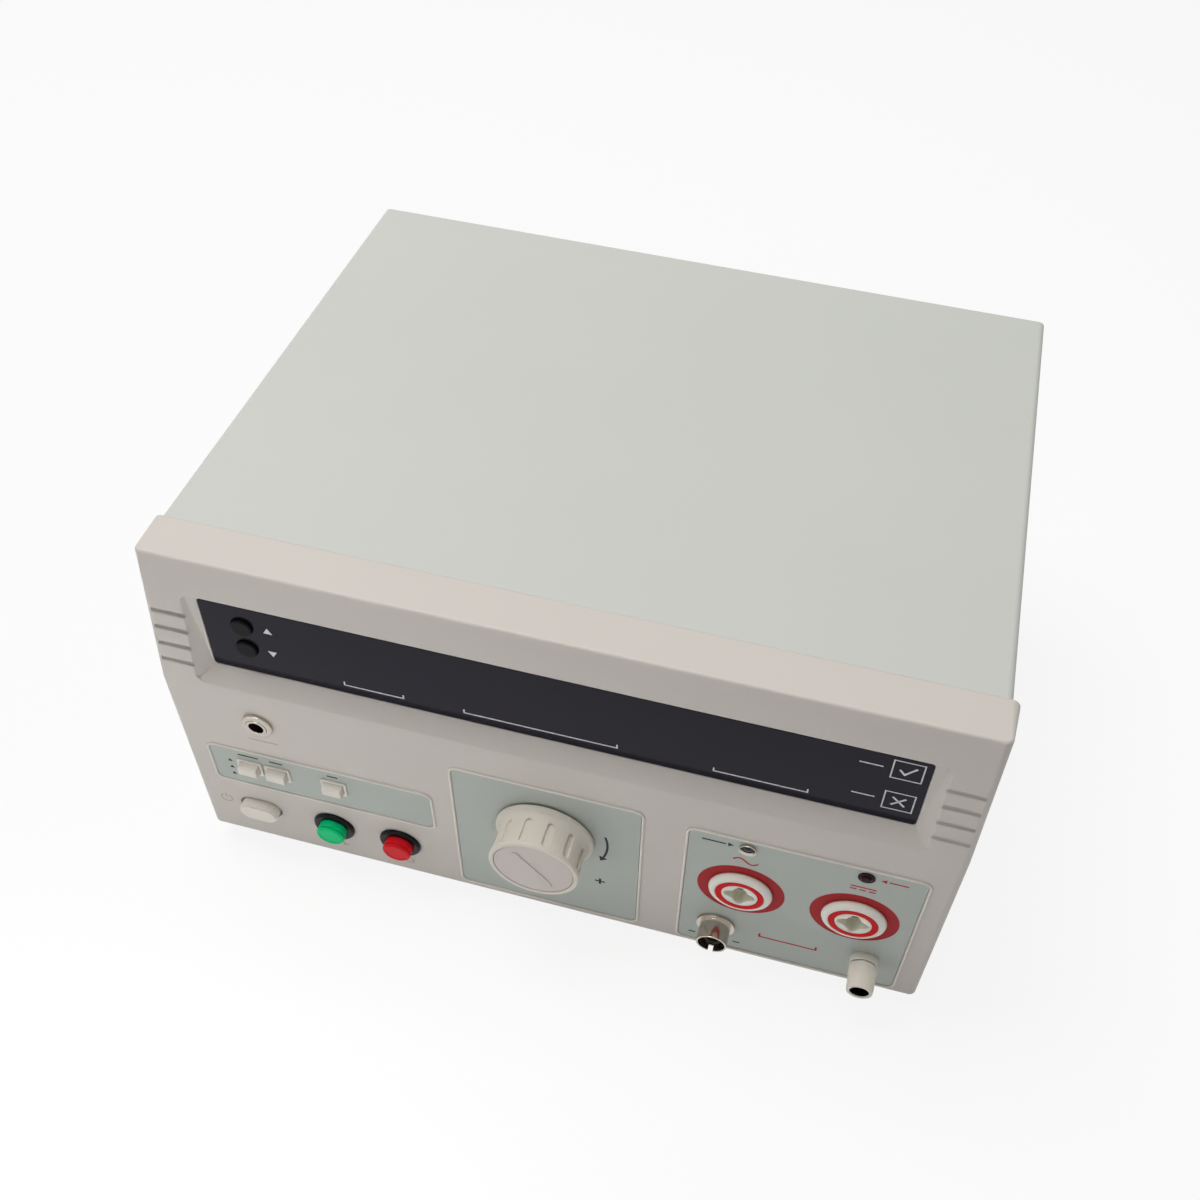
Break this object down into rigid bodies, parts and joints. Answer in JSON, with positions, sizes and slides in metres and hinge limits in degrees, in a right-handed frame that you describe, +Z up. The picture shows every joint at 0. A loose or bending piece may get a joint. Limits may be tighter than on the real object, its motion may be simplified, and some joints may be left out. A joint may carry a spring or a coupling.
{
  "type": "hipot tester",
  "caption": "Bench hipot tester with a leaning moulded front, a display window, push keys, a turning voltage regulator knob, high-voltage sockets and a painted steel case on feet.",
  "frame": {"origin": "centre of the whole box's underside, on the surface that the feet stand on", "axes": "+X to the right seen from the front, +Y to the rear, +Z up"},
  "size_m": [0.3228, 0.2754, 0.1882],
  "materials": {
    "bezel_plastic": "fine moulded texture",
    "cover_paint": "satin powder coat",
    "chassis_steel": "zinc plated",
    "window_acrylic": "smoked gloss acrylic",
    "plate_print": "printed film",
    "key_plastic": "satin",
    "power_plastic": "satin",
    "knob_plastic": "satin",
    "green_plastic": "translucent gloss",
    "red_plastic": "translucent gloss",
    "red_ring": "gloss",
    "red_led": "clear tinted",
    "clear_led": "clear",
    "black_plastic": "satin",
    "insulator": "satin gloss",
    "chrome": "polished",
    "brass": "turned",
    "rubber": "matte",
    "circuit_board": "solder mask",
    "digit_plastic": "tinted",
    "lamp_plastic": "diffusing",
    "coil_copper": "enamelled winding",
    "core_steel": "laminated",
    "base_alloy": "cast",
    "dark_can": "sleeved"
  },
  "bodies": {
    "case": {"front_bezel": "bezel_plastic", "display_window": "window_acrylic", "display_board": "circuit_board", "timer_digits": "digit_plastic", "current_digits": "digit_plastic", "voltage_digits": "digit_plastic", "status_lamps": "lamp_plastic", "setting_switches": "black_plastic", "strip_plate": "plate_print", "key_collars": "key_plastic", "key_board": "circuit_board", "panel_switches": "black_plastic", "start_ring": "black_plastic", "stop_ring": "black_plastic", "panel_nuts": "black_plastic", "knob_plate": "plate_print", "variac_base": "base_alloy", "variac_coil": "coil_copper", "output_plate": "plate_print", "ac_socket": "insulator", "dc_socket": "insulator", "socket_rings": "red_ring", "socket_contacts": "brass", "control_connector": "chrome", "connector_insert": "black_plastic", "ground_base": "knob_plastic", "ground_stud": "brass", "safety_lamp_holder": "chrome", "safety_lamp": "clear_led", "danger_lamp": "red_led", "jack_sleeve": "chrome", "jack_nut": "chrome", "jack_body": "black_plastic", "chassis_base": "chassis_steel", "top_cover": "cover_paint", "rear_panel": "cover_paint", "rubber_feet": "rubber", "foot_screws": "chassis_steel", "case_screws": "chassis_steel", "transformer_core": "core_steel", "transformer_coils": "coil_copper", "main_board": "circuit_board", "filter_capacitors": "dark_can", "hv_rectifier": "dark_can", "mains_inlet": "black_plastic"},
    "regulator": {"regulator_knob": "knob_plastic", "knob_cap": "knob_plastic", "regulator_shaft": "chassis_steel", "brush_arm": "brass"},
    "up_setting": {"up_button": "black_plastic"},
    "down_setting": {"down_button": "black_plastic"},
    "current_range": {"current_range_key": "key_plastic"},
    "output_type": {"output_type_key": "key_plastic"},
    "timer_switch": {"timer_key": "key_plastic"},
    "power": {"power_button": "power_plastic"},
    "start": {"start_button": "green_plastic"},
    "stop": {"stop_button": "red_plastic"},
    "ground_thrust": {"ground_washer": "chassis_steel"},
    "ground_grip": {"ground_cap": "knob_plastic"},
    "fuse_tray": {"fuse_drawer": "black_plastic"}
  },
  "joints": [
    {"name": "regulator_turn", "type": "hinge", "parent": "case", "child": "regulator", "pos_m": [-0.001, -0.11804, 0.07417], "axis": [0, 0.9964, 0.0849], "range_deg": [0, 320]},
    {"name": "up_press", "type": "slide", "parent": "case", "child": "up_setting", "axis": [0, 0.9981, 0.0623], "range_m": [0, 0.0008], "stiffness_N_per_m": 1500},
    {"name": "down_press", "type": "slide", "parent": "case", "child": "down_setting", "axis": [0, 0.9981, 0.0623], "range_m": [0, 0.0008], "stiffness_N_per_m": 1500},
    {"name": "current_range_press", "type": "slide", "parent": "case", "child": "current_range", "axis": [0, 0.9964, 0.0849], "range_m": [0, 0.0025], "stiffness_N_per_m": 600},
    {"name": "output_type_press", "type": "slide", "parent": "case", "child": "output_type", "axis": [0, 0.9964, 0.0849], "range_m": [0, 0.0025], "stiffness_N_per_m": 600},
    {"name": "timer_press", "type": "slide", "parent": "case", "child": "timer_switch", "axis": [0, 0.9964, 0.0849], "range_m": [0, 0.0025], "stiffness_N_per_m": 600},
    {"name": "power_press", "type": "slide", "parent": "case", "child": "power", "axis": [0, 0.9964, 0.0849], "range_m": [0, 0.003], "stiffness_N_per_m": 800},
    {"name": "start_press", "type": "slide", "parent": "case", "child": "start", "axis": [0, 0.9964, 0.0849], "range_m": [0, 0.003], "stiffness_N_per_m": 700},
    {"name": "stop_press", "type": "slide", "parent": "case", "child": "stop", "axis": [0, 0.9964, 0.0849], "range_m": [0, 0.003], "stiffness_N_per_m": 700},
    {"name": "ground_lift", "type": "slide", "parent": "case", "child": "ground_thrust", "axis": [0, -0.9964, -0.0849], "range_m": [0, 0.004]},
    {"name": "ground_turn", "type": "hinge", "parent": "ground_thrust", "child": "ground_grip", "pos_m": [0.1353, -0.11468, 0.03462], "axis": [0, -0.9964, -0.0849], "range_deg": [0, 1445]},
    {"name": "fuse_tray_slide", "type": "slide", "parent": "case", "child": "fuse_tray", "axis": [0, 1, 0], "range_m": [0, 0.02]}
  ],
  "couplings": [
    {"joint": "ground_turn", "follows": "ground_lift", "rad_per_m": 6283.2}
  ]
}
